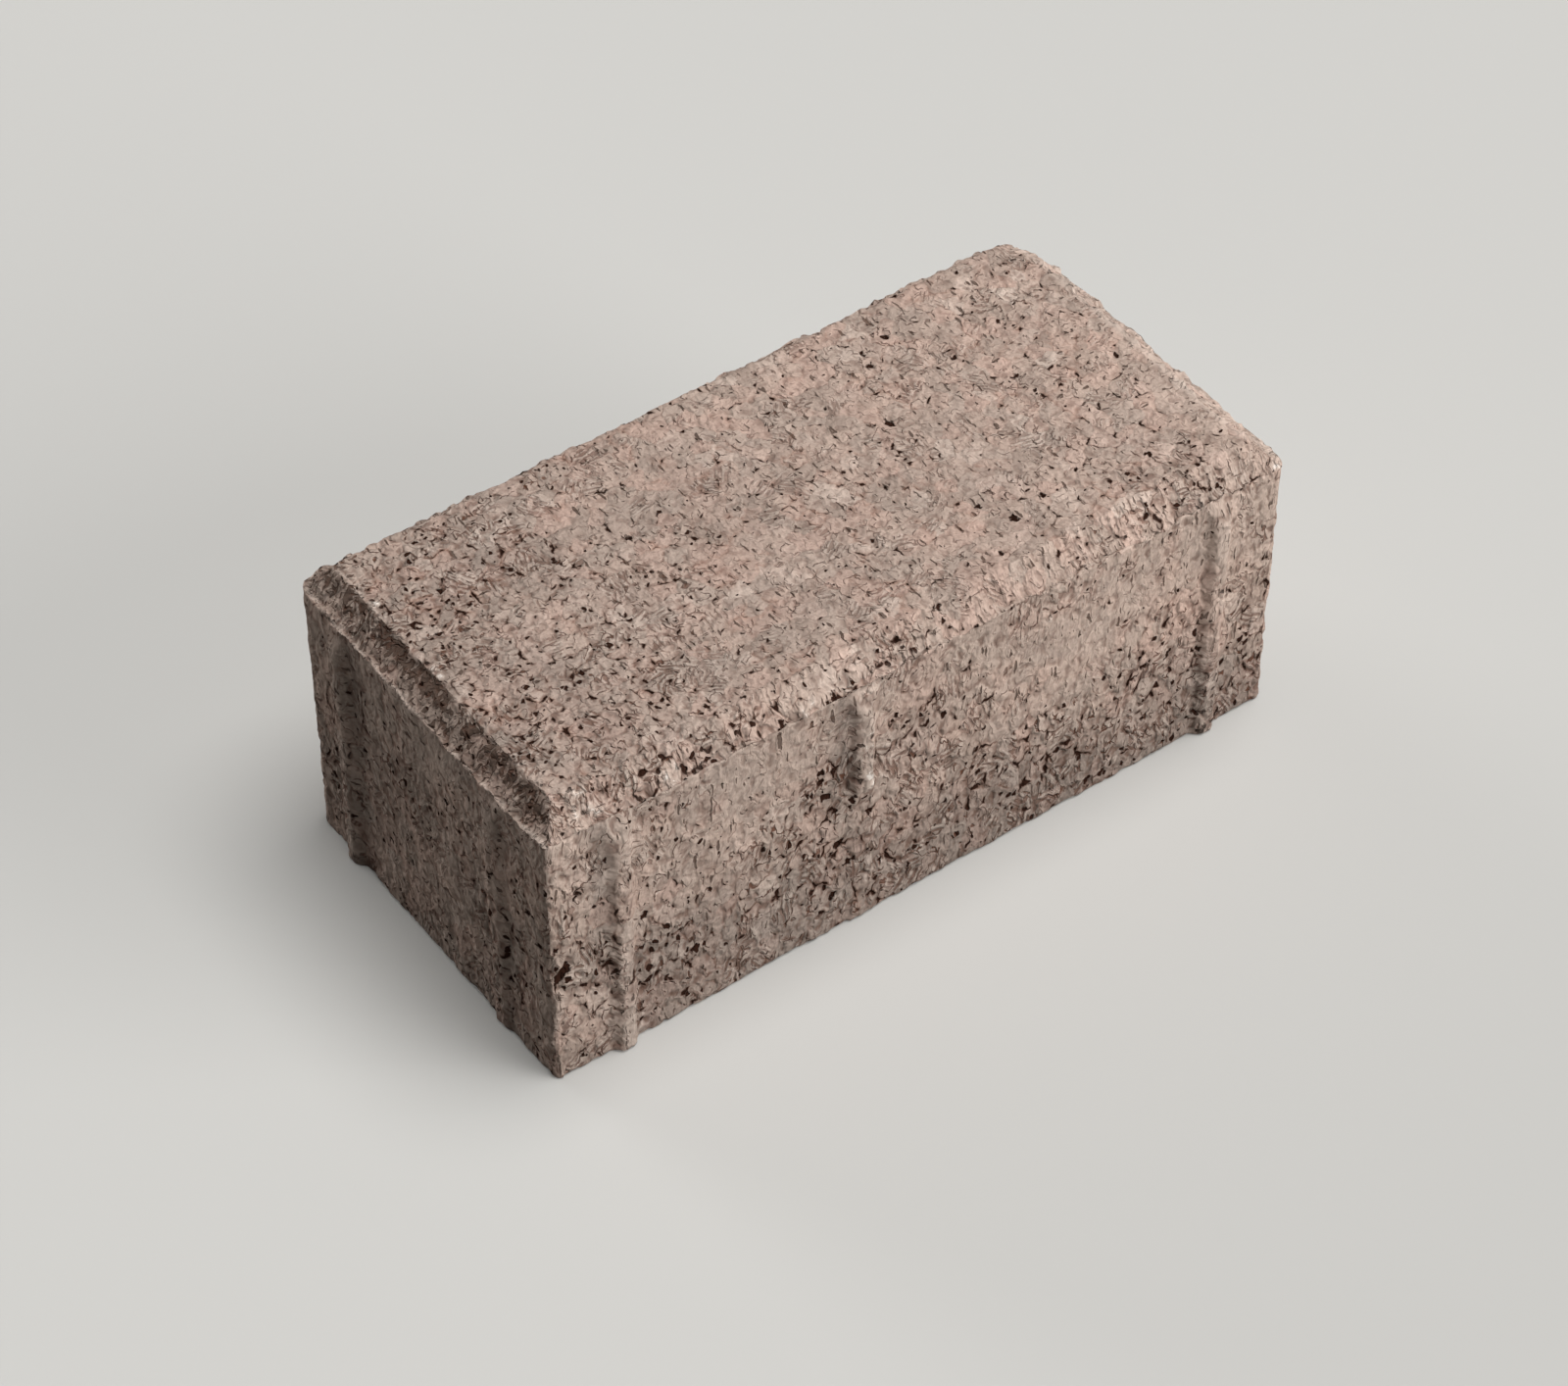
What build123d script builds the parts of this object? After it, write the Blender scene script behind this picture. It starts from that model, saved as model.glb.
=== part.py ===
"""Rectangular concrete paver with a chamfered wearing face and spacer ribs on its four upright faces.

The block stands on its flat bottom: Z is up, X runs along its length, and the origin is the middle of the bottom.
Millimetres throughout.
"""
from build123d import *
import os

# Overall size, with the length and the width taken over the spacer ribs
LENGTH = 200.0
WIDTH = 100.0
HEIGHT = 80.0

# Spacer ribs: a trapezoid in plan, with a head that slopes back to the face under the arris
RIB_PROUD = 2.0
RIB_ROOT_WIDTH = 8.0
RIB_CREST_WIDTH = 3.6
RIB_CREST_ROUND = 0.8
RIB_HEAD_SLOPE = 6.0
RIB_HEAD_GAP = 1.5
RIB_BURIED = 1.5

# Where the ribs stand: the outer ones from the ends of the overall size, the odd one from mid length
RIB_END_DISTANCE = 20.0
ODD_RIB_OFFSET = 17.5

# The odd rib of the front is broken off below this height, and its stump slopes back to the face
BROKEN_RIB_FOOT = 34.0
BROKEN_RIB_SLOPE = 12.0

# Chamfer round the wearing face, with a narrow level shelf at its foot
CHAMFER_DROP = 6.0
CHAMFER_RUN = 4.8
SHELF_WIDTH = 1.0
TOP_EDGE_ROUND = 1.2

# Upright edges, the two at the back worn round, and the rounding of the arris and the bottom edge
CORNER_RADIUS = 2.0
LEFT_BACK_RADIUS = 4.5
RIGHT_BACK_RADIUS = 10.0
ARRIS_ROUND = 0.5
BOTTOM_EDGE_ROUND = 0.8

# Derived sizes: the block between its ribs, and the height at which the ribs run out
BODY_LENGTH = LENGTH - 2 * RIB_PROUD
BODY_WIDTH = WIDTH - 2 * RIB_PROUD
ARRIS_HEIGHT = HEIGHT - CHAMFER_DROP
RIB_TOP = ARRIS_HEIGHT - RIB_HEAD_GAP


def plan(inset: float, height: float) -> Face:
    """Outline of the block at a height, drawn in by the inset, with its two back corners worn round."""
    half_length = BODY_LENGTH / 2 - inset
    half_width = BODY_WIDTH / 2 - inset
    corners = [
        (-half_length, -half_width, height),
        (half_length, -half_width, height),
        (half_length, half_width, height),
        (-half_length, half_width, height),
    ]
    radii = [CORNER_RADIUS, CORNER_RADIUS, RIGHT_BACK_RADIUS, LEFT_BACK_RADIUS]
    return make_face(FilletPolyline(*corners, radius=radii, close=True)).face()


def block() -> Part:
    """The block without its ribs: an upright prism under a chamfered head that is set in by the shelf."""
    prism = extrude(plan(0, 0), ARRIS_HEIGHT, dir=(0, 0, 1))
    head = loft([plan(SHELF_WIDTH, ARRIS_HEIGHT), plan(SHELF_WIDTH + CHAMFER_RUN, HEIGHT)], ruled=True)
    body = prism + head
    body = fillet(body.faces().sort_by(Axis.Z)[-1].edges(), TOP_EDGE_ROUND)
    body = fillet(body.faces().sort_by(Axis.Z)[0].edges(), BOTTOM_EDGE_ROUND)
    shelf = body.faces().filter_by(Axis.Z).sort_by(Axis.Z)[1]
    return fillet(shelf.outer_wire().edges(), ARRIS_ROUND)


def slope_cutter(crest_height: float, face_height: float) -> Part:
    """A wedge that takes away all of a rib beyond the slope from its crest to the face it stands on.

    The slope starts on the crest at the first height and meets the face at the second one.
    """
    rise = face_height - crest_height
    outer = (0, -2 * RIB_PROUD, crest_height - rise)
    inner = (0, RIB_PROUD, face_height + rise)
    beyond = (0, -2 * RIB_PROUD, face_height + rise)
    triangle = make_face(Polyline(outer, inner, beyond, close=True))
    return extrude(triangle.face(), RIB_ROOT_WIDTH, dir=(1, 0, 0), both=True)


def rib(broken: bool = False) -> Part:
    """One upright rib on the plane Y = 0 that stands out towards -Y; a broken one has lost its lower part."""
    section = Polyline(
        (-RIB_ROOT_WIDTH / 2, RIB_BURIED),
        (-RIB_ROOT_WIDTH / 2, 0),
        (-RIB_CREST_WIDTH / 2, -RIB_PROUD),
        (RIB_CREST_WIDTH / 2, -RIB_PROUD),
        (RIB_ROOT_WIDTH / 2, 0),
        (RIB_ROOT_WIDTH / 2, RIB_BURIED),
        close=True,
    )
    foot = BROKEN_RIB_FOOT if broken else 0.0
    bar = extrude(Pos(0, 0, foot) * make_face(section).face(), RIB_TOP - foot, dir=(0, 0, 1))
    bar = fillet(bar.edges().filter_by(Axis.Z).sort_by(Axis.Y)[:2], RIB_CREST_ROUND)
    bar -= slope_cutter(RIB_TOP - RIB_HEAD_SLOPE, RIB_TOP)
    if broken:
        return bar - slope_cutter(foot + BROKEN_RIB_SLOPE, foot)
    foot_edges = bar.faces().sort_by(Axis.Z)[0].edges().filter_by(lambda edge: edge.center().Y < 0)
    return fillet(foot_edges, BOTTOM_EDGE_ROUND)


def front_rib(along: float, broken: bool = False) -> Part:
    """A rib on the long front face, at a distance along the length from its middle."""
    return Pos(along, -BODY_WIDTH / 2, 0) * rib(broken)


def left_rib(across: float) -> Part:
    """A rib on the short left face, at a distance across the width from its middle."""
    return Pos(-BODY_LENGTH / 2, across, 0) * Rot(0, 0, -90) * rib()


# Ribs of the front and the left, and the same set turned half a turn for the back and the right
outer_along = LENGTH / 2 - RIB_END_DISTANCE
outer_across = WIDTH / 2 - RIB_END_DISTANCE
outer_ribs = [front_rib(-outer_along), front_rib(outer_along), left_rib(-outer_across), left_rib(outer_across)]
half_turn = Rot(0, 0, 180)
ribs = [
    *outer_ribs,
    *[half_turn * each for each in outer_ribs],
    front_rib(-ODD_RIB_OFFSET, broken=True),
    half_turn * front_rib(-ODD_RIB_OFFSET),
]

paver = block()
for each in ribs:
    paver += each
paver = paver.solid()

os.makedirs("parts", exist_ok=True)
export_step(paver, "parts/paver.step")
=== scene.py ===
"""Pressed concrete paver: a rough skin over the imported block, its concrete finish, and a plain pale studio.

Sizes of the block are in millimetres here, as in its solid, and become metres when a mesh is made.
"""
import logging
import math
from dataclasses import dataclass
from enum import Enum
from typing import Any, Mapping, Sequence, Union

import bpy
import numpy as np
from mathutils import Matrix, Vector


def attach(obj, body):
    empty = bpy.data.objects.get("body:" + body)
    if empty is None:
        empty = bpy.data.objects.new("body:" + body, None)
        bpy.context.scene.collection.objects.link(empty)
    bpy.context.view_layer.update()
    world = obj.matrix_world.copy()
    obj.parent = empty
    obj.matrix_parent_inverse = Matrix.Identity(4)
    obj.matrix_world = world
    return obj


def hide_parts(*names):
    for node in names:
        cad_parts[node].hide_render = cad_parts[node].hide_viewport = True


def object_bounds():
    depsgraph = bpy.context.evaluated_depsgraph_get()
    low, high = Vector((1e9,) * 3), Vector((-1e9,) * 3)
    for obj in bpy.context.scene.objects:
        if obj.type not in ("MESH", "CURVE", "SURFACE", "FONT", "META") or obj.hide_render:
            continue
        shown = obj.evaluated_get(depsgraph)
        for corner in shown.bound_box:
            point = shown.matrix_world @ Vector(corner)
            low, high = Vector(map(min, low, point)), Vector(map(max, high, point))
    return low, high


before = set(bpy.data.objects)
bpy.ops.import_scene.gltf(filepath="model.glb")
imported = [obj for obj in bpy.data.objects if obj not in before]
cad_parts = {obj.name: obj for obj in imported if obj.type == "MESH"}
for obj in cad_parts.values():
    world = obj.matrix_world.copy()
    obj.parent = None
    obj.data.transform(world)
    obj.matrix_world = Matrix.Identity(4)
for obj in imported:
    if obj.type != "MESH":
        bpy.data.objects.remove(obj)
CAD_BOX = [list(corner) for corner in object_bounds()]

LOG = logging.getLogger("paver")
MM = 0.001
UNFOLDED = "unfolded"
Colour = tuple[float, float, float]
Number = Union[int, float]


class Side(Enum):
    """The upright faces of the block, each with its outward direction in plan."""

    FRONT = (0, -1)
    RIGHT = (1, 0)
    BACK = (0, 1)
    LEFT = (-1, 0)


class Skin(Enum):
    """Values that the mesh carries at each point for the finish to read, most of them from 0 to 1."""

    TONE = "tone"
    BLUSH = "blush"
    SLURRY = "slurry"
    COMBED = "combed"
    PITTED = "pitted"
    HOLLOW = "hollow"
    TEETH = "teeth"
    ENDWISE = "endwise"
    # Painted shade on the left end chamfer, heaviest in clusters near its top edge.
    PAINTED_CHAMFER_SHADE = "painted_chamfer_shade"
    # Pale lips and crumbs, and painted highlight on lit edges, on the right end chamfer and on the crests of
    # the ribs.
    BURR_AND_HIGHLIGHT = "burr_and_highlight"


class Wire:
    """One shader socket that takes part in Python expressions: each operator adds a Math node."""

    def __init__(self, board: "Board", socket: bpy.types.NodeSocket) -> None:
        """Keeps the board and the socket that the wire comes from."""
        self.board = board
        self.socket = socket

    def beside(self, output: str) -> "Wire":
        """Another output of the node that this wire comes from."""
        return Wire(self.board, self.socket.node.outputs[output])

    def math(self, operation: str, *others: Union["Wire", Number]) -> "Wire":
        """Adds a Math node.

        Args:
            operation: the Math node's operation.
            others: what follows this wire in the node's inputs.

        Returns:
            The node's result.
        """
        return self.board.node("ShaderNodeMath", {"operation": operation}, dict(enumerate((self, *others))))

    def __add__(self, other: Union["Wire", Number]) -> "Wire":
        """This plus the other."""
        return self.math("ADD", other)

    def __radd__(self, other: Number) -> "Wire":
        """The number plus this."""
        return self.math("ADD", other)

    def __sub__(self, other: Union["Wire", Number]) -> "Wire":
        """This less the other."""
        return self.math("SUBTRACT", other)

    def __rsub__(self, other: Number) -> "Wire":
        """The number less this."""
        return self.board.node("ShaderNodeMath", {"operation": "SUBTRACT"}, {0: other, 1: self})

    def __mul__(self, other: Union["Wire", Number]) -> "Wire":
        """This times the other."""
        return self.math("MULTIPLY", other)

    def __rmul__(self, other: Number) -> "Wire":
        """The number times this."""
        return self.math("MULTIPLY", other)

    def __abs__(self) -> "Wire":
        """This without its sign."""
        return self.math("ABSOLUTE")

    def most(self, other: Union["Wire", Number]) -> "Wire":
        """The larger of this and the other."""
        return self.math("MAXIMUM", other)

    def least(self, other: Union["Wire", Number]) -> "Wire":
        """The smaller of this and the other."""
        return self.math("MINIMUM", other)

    def step(self, start: Union["Wire", Number], end: Union["Wire", Number]) -> "Wire":
        """A smooth step.

        Args:
            start: the value at which the step is 0.
            end: the value at which the step is 1.

        Returns:
            A value from 0 to 1.
        """
        sockets = {"Value": self, "From Min": start, "From Max": end}
        return self.board.node("ShaderNodeMapRange", {"interpolation_type": "SMOOTHSTEP"}, sockets)

    def vector(self, operation: str, other: Union["Wire", Sequence[float], None] = None,
               output: str = "Vector", **more: Any) -> "Wire":
        """Adds a Vector Math node.

        Args:
            operation: the Vector Math node's operation.
            other: the second vector, if there is one.
            output: "Vector", or "Value" for a product or a length.
            more: other sockets by name.

        Returns:
            The node's result.
        """
        sockets: dict[Any, Any] = {0: self}
        if other is not None:
            sockets[1] = other
        sockets.update(more)
        return self.board.node("ShaderNodeVectorMath", {"operation": operation}, sockets, output)


class Board:
    """A material's node tree, with one method that adds any node."""

    def __init__(self, name: str) -> None:
        """Makes an empty node material.

        Args:
            name: the material's name.
        """
        self.material = bpy.data.materials.new(name)
        self.material.use_nodes = True
        self.tree = self.material.node_tree
        self.tree.nodes.clear()

    def node(self, kind: str, settings: Mapping[str, Any], sockets: Mapping[Any, Any],
             output: Any = 0) -> Wire:
        """Adds a node.

        Args:
            kind: the node's type.
            settings: its own settings, which are set first; "stops" gives a ramp's stops.
            sockets: values or wires for its inputs, by name or place.
            output: the name or place of the output that is wanted.

        Returns:
            That output as a wire.
        """
        made = self.tree.nodes.new(kind)
        for name, value in settings.items():
            if name == "stops":
                self._set_stops(made.color_ramp, value)
            else:
                setattr(made, name, value)
        for name, value in sockets.items():
            if isinstance(value, Wire):
                self.tree.links.new(value.socket, made.inputs[name])
            else:
                made.inputs[name].default_value = value
        return Wire(self, made.outputs[output]) if made.outputs else Wire(self, made.inputs[0])

    @staticmethod
    def _set_stops(ramp: bpy.types.ColorRamp, stops: Sequence[tuple[float, Colour]]) -> None:
        """Gives a ramp its stops.

        Args:
            ramp: the ramp.
            stops: a place and a colour each.
        """
        while len(ramp.elements) > 1:
            ramp.elements.remove(ramp.elements[-1])
        for index, (place, colour) in enumerate(stops):
            element = ramp.elements[0] if index == 0 else ramp.elements.new(place)
            element.position = place
            element.color = (*colour, 1.0)

    def place(self) -> Wire:
        """The point on the unfolded faces, in millimetres."""
        return self.node("ShaderNodeAttribute", {"attribute_name": UNFOLDED}, {}, "Vector")

    def carried(self, skin: Skin) -> Wire:
        """A value that the mesh carries."""
        return self.node("ShaderNodeAttribute", {"attribute_name": skin.value}, {}, "Fac")

    def noise(self, point: Wire, size: float, detail: float = 2.0, rough: float = 0.5,
              output: str = "Fac") -> Wire:
        """Fractal noise whose largest lumps are about the size given, in millimetres.

        Args:
            point: where it is read.
            size: the size of its lumps.
            detail: how many finer layers it has.
            rough: how strong the finer layers are.
            output: "Fac" for a value or "Color" for a vector.

        Returns:
            The noise, about 0.5 on the average.
        """
        sockets = {"Vector": point, "Scale": 1.0 / size, "Detail": detail, "Roughness": rough}
        return self.node("ShaderNodeTexNoise", {"noise_dimensions": "2D"}, sockets, output)

    def cells(self, point: Wire, size: float) -> Wire:
        """Random "Color" of scattered cells of that size, with "Distance" from their seeds beside it."""
        settings = {"voronoi_dimensions": "2D"}
        return self.node("ShaderNodeTexVoronoi", settings, {"Vector": point, "Scale": 1.0 / size}, "Color")

    def rims(self, point: Wire, size: float) -> Wire:
        """Distance from the rim of the cell of that size, as a share of the size."""
        settings = {"voronoi_dimensions": "2D", "feature": "DISTANCE_TO_EDGE"}
        return self.node("ShaderNodeTexVoronoi", settings, {"Vector": point, "Scale": 1.0 / size}, "Distance")

    def part(self, colour: Wire, channel: str) -> Wire:
        """One channel of a colour: "Red", "Green" or "Blue"."""
        return self.node("ShaderNodeSeparateColor", {}, {"Color": colour}, channel)

    def grey(self, value: Wire) -> Wire:
        """A value as a grey colour."""
        return self.node("ShaderNodeCombineColor", {}, {"Red": value, "Green": value, "Blue": value})

    def blend(self, share: Union[Wire, Number], first: Union[Wire, Colour], second: Union[Wire, Colour],
              way: str = "MIX") -> Wire:
        """Mixes two colours.

        Args:
            share: how much of the second is taken.
            first: the first colour.
            second: the second colour.
            way: the Mix node's blend type.

        Returns:
            The mixed colour.
        """
        sockets = {0: share, 6: self._colour(first), 7: self._colour(second)}
        return self.node("ShaderNodeMix", {"data_type": "RGBA", "blend_type": way}, sockets, 2)

    @staticmethod
    def _colour(value: Union[Wire, Colour]) -> Union[Wire, tuple[float, ...]]:
        """A colour as a socket takes it."""
        return value if isinstance(value, Wire) else (*value, 1.0)


@dataclass(frozen=True)
class Ground:
    """What each layer of the concrete reads: the nodes, the point, its stirring, and the kind of surface."""

    board: Board
    point: Wire
    swirl: Wire
    bent: Wire
    flakes: Wire
    slurry: Wire
    rough: Wire


@dataclass(frozen=True)
class Layers:
    """The layers of the concrete that show both in its colour and in its relief."""

    lumps: Wire
    creases: Wire
    dark_strokes: Wire
    light_strokes: Wire
    gaps: Wire
    opened: Wire
    teeth: Wire
    shaded_clefts: Wire
    streaks: Wire
    coarse: Wire


@dataclass(frozen=True)
class ConcreteFinish:
    """Dry pressed concrete: soft lumps of pinkish paste with flakes, creases, strokes, gaps and pits."""

    name: str = "concrete"
    paste: Colour = (0.455, 0.335, 0.275)
    greige: Colour = (0.415, 0.333, 0.282)
    pink: Colour = (0.500, 0.328, 0.268)
    pale: Colour = (0.640, 0.525, 0.450)
    chalk: Colour = (0.84, 0.76, 0.69)
    # The darkest flake tone, and also the colour of the painted shade on the left end chamfer.
    dusk_and_shade: Colour = (0.25, 0.188, 0.153)
    # Colour of the painted shadow in the clefts along the top edge of the left end chamfer.
    cleft_shade: Colour = (0.085, 0.056, 0.043)
    slurry: Colour = (0.42, 0.333, 0.280)
    rust: Colour = (0.34, 0.185, 0.130)
    # Colour of the painted shade in grooves, creases, gaps and valleys.
    umber_shade: Colour = (0.115, 0.048, 0.029)
    # Colour of the painted shade inside pits and hollows.
    pit: Colour = (0.034, 0.015, 0.010)
    roughness: float = 0.95
    lump_size: float = 2.2
    crease_size: float = 3.2
    flake_size: float = 4.6
    stroke_patch: float = 4.4
    stroke_width: float = 0.65
    stroke_length: float = 2.8
    pit_spacing: float = 2.1
    largest_pit: float = 0.27
    ridge_width: float = 1.2
    streak_width: float = 1.2
    streak_length: float = 4.0
    grain_size: float = 0.5

    def dress(self, piece: bpy.types.Object) -> None:
        """Gives the piece this finish.

        Args:
            piece: the mesh object, whose points carry the values of Skin.
        """
        board = Board(self.name)
        ground = self._ground(board)
        layers = self._layers(ground)
        relief = {"Height": self._height(ground, layers), "Distance": MM, "Strength": 1.0}
        bump = board.node("ShaderNodeBump", {}, relief, "Normal")
        sockets = {"Base Color": self._marked(ground, layers), "Normal": bump}
        sockets.update({"Roughness": self.roughness, "Specular IOR Level": 0.0})
        shader = board.node("ShaderNodeBsdfPrincipled", {}, sockets)
        board.node("ShaderNodeOutputMaterial", {}, {"Surface": shader})
        piece.data.materials.append(board.material)

    def _ground(self, board: Board) -> Ground:
        """Reads what all layers share.

        Args:
            board: the material's nodes.

        Returns:
            The shared wires.
        """
        point = board.place()
        swirl = board.noise(point, 2.6, 2.0, 0.6, "Color").vector("SUBTRACT", (0.5, 0.5, 0.5))
        bent = point.vector("ADD", swirl.vector("SCALE", Scale=2.0))
        flakes = board.cells(bent, self.flake_size)
        slurry = board.carried(Skin.SLURRY)
        return Ground(board, point, swirl, bent, flakes, slurry, 1.0 - slurry * 0.7)

    def _layers(self, ground: Ground) -> Layers:
        """Makes the layers.

        Args:
            ground: the shared wires.

        Returns:
            The layers, most of them from 0 to 1.
        """
        board = ground.board
        lumps = board.noise(ground.bent, self.lump_size, 1.0, 0.5) - 0.5
        strokes = self._strokes(ground)
        gaps = self._gaps(ground)
        ridges = self._ridges(ground) - 0.5
        return Layers(
            lumps=lumps,
            creases=self._creases(ground),
            dark_strokes=strokes.step(0.57, 0.66) * ground.rough,
            light_strokes=strokes.step(0.43, 0.34) * ground.rough,
            gaps=gaps,
            opened=gaps.step(0.035, -0.035).most(self._pits(ground)),
            teeth=ridges * board.carried(Skin.TEETH),
            # Clefts along the top edge of the left end chamfer, sunk in the relief and painted dark as
            # shadow.
            shaded_clefts=(board.carried(Skin.PAINTED_CHAMFER_SHADE) + ridges * 2.4 + lumps * 0.6).step(0.5, 0.68),
            streaks=self._streaks(ground),
            coarse=board.carried(Skin.PITTED).step(0.2, 1.4),
        )

    def _height(self, ground: Ground, layers: Layers) -> Wire:
        """Fine relief for the bump.

        Args:
            ground: the shared wires.
            layers: the layers that stand out or sink in.

        Returns:
            The height in millimetres.
        """
        height = layers.lumps * (0.2 + 0.8 * ground.rough + 0.5 * layers.coarse)
        height = height + self._flakes(ground) * (0.9 * ground.rough)
        height = height + layers.light_strokes * 0.12 - layers.dark_strokes * 0.3 - layers.creases * 0.4
        height = height - layers.opened * 0.8 + layers.teeth * 0.9
        return height + layers.streaks * 0.25 - layers.shaded_clefts * 0.3

    def _marked(self, ground: Ground, layers: Layers) -> Wire:
        """Colour of the surface with all its marks.

        Args:
            ground: the shared wires.
            layers: the layers that darken or lighten it.

        Returns:
            The colour.
        """
        board, lumps, gaps = ground.board, layers.lumps, layers.gaps
        # Lumps and the ridges of the chamfers are painted lighter on top and darker between, as painted light
        # and shade; the streaks are the slurry's own.
        colour = self._sound(ground, lumps * 0.25 + layers.teeth * 0.5 + layers.streaks * 0.8)
        # Painted shadow in the clefts of the left end chamfer.
        colour = board.blend(layers.shaded_clefts * 0.85, colour, self.cleft_shade)
        colour = board.blend(gaps.step(0.30, 0.0) * board.carried(Skin.BLUSH) * 0.4, colour, self.rust)
        # Painted highlight on the raised light strokes.
        colour = board.blend(layers.light_strokes * 0.35, colour, self.pale)
        # Painted shade in the grooves of the dark strokes, in the creases, along the gaps between flakes and
        # in the valleys between lumps.
        marks = (layers.dark_strokes * 0.45).most(layers.creases * 0.68)
        marks = marks.most(gaps.step(0.12, 0.03) * 0.42).most(lumps.step(-0.02, -0.30) * 0.4)
        colour = board.blend(marks * (0.74 + 0.65 * layers.coarse), colour, self.umber_shade)
        # Pits and hollows painted dark as shade inside them.
        colour = board.blend(layers.opened, colour, self.pit)
        # Pale lips and crumbs, and painted highlight on lit edges, on the right end chamfer and on the crests
        # of the ribs.
        burr_and_highlight = board.carried(Skin.BURR_AND_HIGHLIGHT)
        colour = board.blend(burr_and_highlight * 0.7, colour, self.pale)
        return board.blend(burr_and_highlight.step(0.88, 1.0) * 0.75, colour, self.chalk)

    def _sound(self, ground: Ground, shade: Wire) -> Wire:
        """Colour of the sound surface.

        Args:
            ground: the shared wires.
            shade: how much lighter or darker it is made: painted light and shade of the relief, and the
                slurry's own streaks.

        Returns:
            The colour without pits, creases and strokes.
        """
        board = ground.board
        tone = board.carried(Skin.TONE)
        base = board.blend(tone, self.greige, self.paste)
        base = board.blend(board.carried(Skin.BLUSH) * 0.2, base, self.pink)
        stops = [(0.0, self.dusk_and_shade), (0.25, self.greige), (0.5, self.paste), (0.8, self.pink), (1.0, self.pale)]
        picked = board.part(ground.flakes, "Green")
        flakes = board.node("ShaderNodeValToRGB", {"stops": stops}, {"Fac": picked})
        base = board.blend(ground.rough * 0.38, base, flakes)
        base = board.blend(ground.slurry * 0.55, base, self.slurry)
        # Painted shade on the left end chamfer.
        base = board.blend(board.carried(Skin.PAINTED_CHAMFER_SHADE) * 0.8, base, self.dusk_and_shade)
        grain = (board.noise(ground.point, self.grain_size, 0.0) - 0.5) * 0.2
        return board.blend(0.6, base, board.grey(grain + shade + tone * 0.55 + 0.26), "OVERLAY")

    def _creases(self, ground: Ground) -> Wire:
        """Short curved creases between the lumps.

        Args:
            ground: the shared wires.

        Returns:
            A value from 0 to 1.
        """
        board = ground.board
        shown = board.noise(ground.point, 2.2, 0.0).step(0.49, 0.63)
        line = abs(board.noise(ground.bent, self.crease_size, 1.0, 0.6) - 0.5).step(0.045, 0.0)
        return line * shown * ground.rough * (0.4 + 0.6 * board.carried(Skin.COMBED))

    def _strokes(self, ground: Ground) -> Wire:
        """Noise drawn out into short strokes, which run their own way in each patch.

        Args:
            ground: the shared wires.

        Returns:
            A value that is about 0.5 on the average.
        """
        board, point = ground.board, ground.point
        patch = board.cells(ground.bent, self.stroke_patch)
        way = patch.vector("SUBTRACT", (0.5, 0.5, 0.5)).vector("MULTIPLY", (1, 1, 0)).vector("NORMALIZE")
        across = point.vector("DOT_PRODUCT", way, "Value") * (1 / self.stroke_width - 1 / self.stroke_length)
        drawn = point.vector("SCALE", Scale=1 / self.stroke_length)
        drawn = drawn.vector("ADD", way.vector("SCALE", Scale=across))
        combed = board.part(patch, "Blue").step(0.55, 0.8) * board.carried(Skin.COMBED)
        return (board.noise(drawn, 1.0, 0.0) - 0.5) * (0.25 + 0.85 * combed) + 0.5

    def _flakes(self, ground: Ground) -> Wire:
        """Height of the flakes, each a low dome with a level of its own, from about -0.5 to 0.5."""
        level = (ground.board.part(ground.flakes, "Red") - 0.5) * 0.7
        return level - ground.flakes.beside("Distance") * 0.5 + 0.2

    def _gaps(self, ground: Ground) -> Wire:
        """Gaps between flakes, which are wide in some places and shut in most.

        Args:
            ground: the shared wires.

        Returns:
            The distance from the nearest gap's rim, as a share of a flake's size, below 0 inside the gap.
        """
        board = ground.board
        wide = (board.noise(ground.point, 2.6, 1.0) - 0.70) * 0.5
        wide = wide + board.carried(Skin.PITTED) * 0.022 - ground.slurry * 0.1
        return board.rims(ground.bent, self.flake_size) - wide

    def _pits(self, ground: Ground) -> Wire:
        """Open pits: the hollows that the mesh has, and smaller round pits scattered between them.

        Args:
            ground: the shared wires.

        Returns:
            A value from 0 to 1.
        """
        board = ground.board
        ragged = (board.noise(ground.point, 0.8, 0.0) - 0.5) * 0.2
        found = (board.carried(Skin.HOLLOW) + ragged * 2.0).step(0.2, 0.4)
        holes = board.cells(ground.bent, self.pit_spacing)
        radius = (board.part(holes, "Blue") - (0.88 - board.carried(Skin.PITTED) * 0.105)) * ground.rough
        radius = radius.least(self.largest_pit)
        pit = (holes.beside("Distance") + ragged).step(radius + 0.05, radius - 0.07)
        return found.most(pit)

    def _ridges(self, ground: Ground) -> Wire:
        """Ridges and grooves that run up the chamfers.

        Args:
            ground: the shared wires.

        Returns:
            A value that is about 0.5 on the average.
        """
        board = ground.board
        stirred = ground.swirl.vector("SCALE", Scale=0.9)
        up_long = ground.point.vector("MULTIPLY", (1.0, 0.3, 1.0)).vector("ADD", stirred)
        up_short = ground.point.vector("MULTIPLY", (0.42, 0.85, 1.0)).vector("ADD", stirred)
        long_side = board.noise(up_long, self.ridge_width, 1.0)
        short_side = board.noise(up_short, self.ridge_width, 1.0)
        return long_side + (short_side - long_side) * board.carried(Skin.ENDWISE)

    def _streaks(self, ground: Ground) -> Wire:
        """Faint upright streaks of the smeared slurry, from about -0.5 to 0.5."""
        drawn = ground.bent.vector("MULTIPLY", (1 / self.streak_width, 1 / self.streak_length, 1.0))
        return (ground.board.noise(drawn, 1.0, 2.0, 0.6) - 0.5) * ground.slurry


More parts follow.
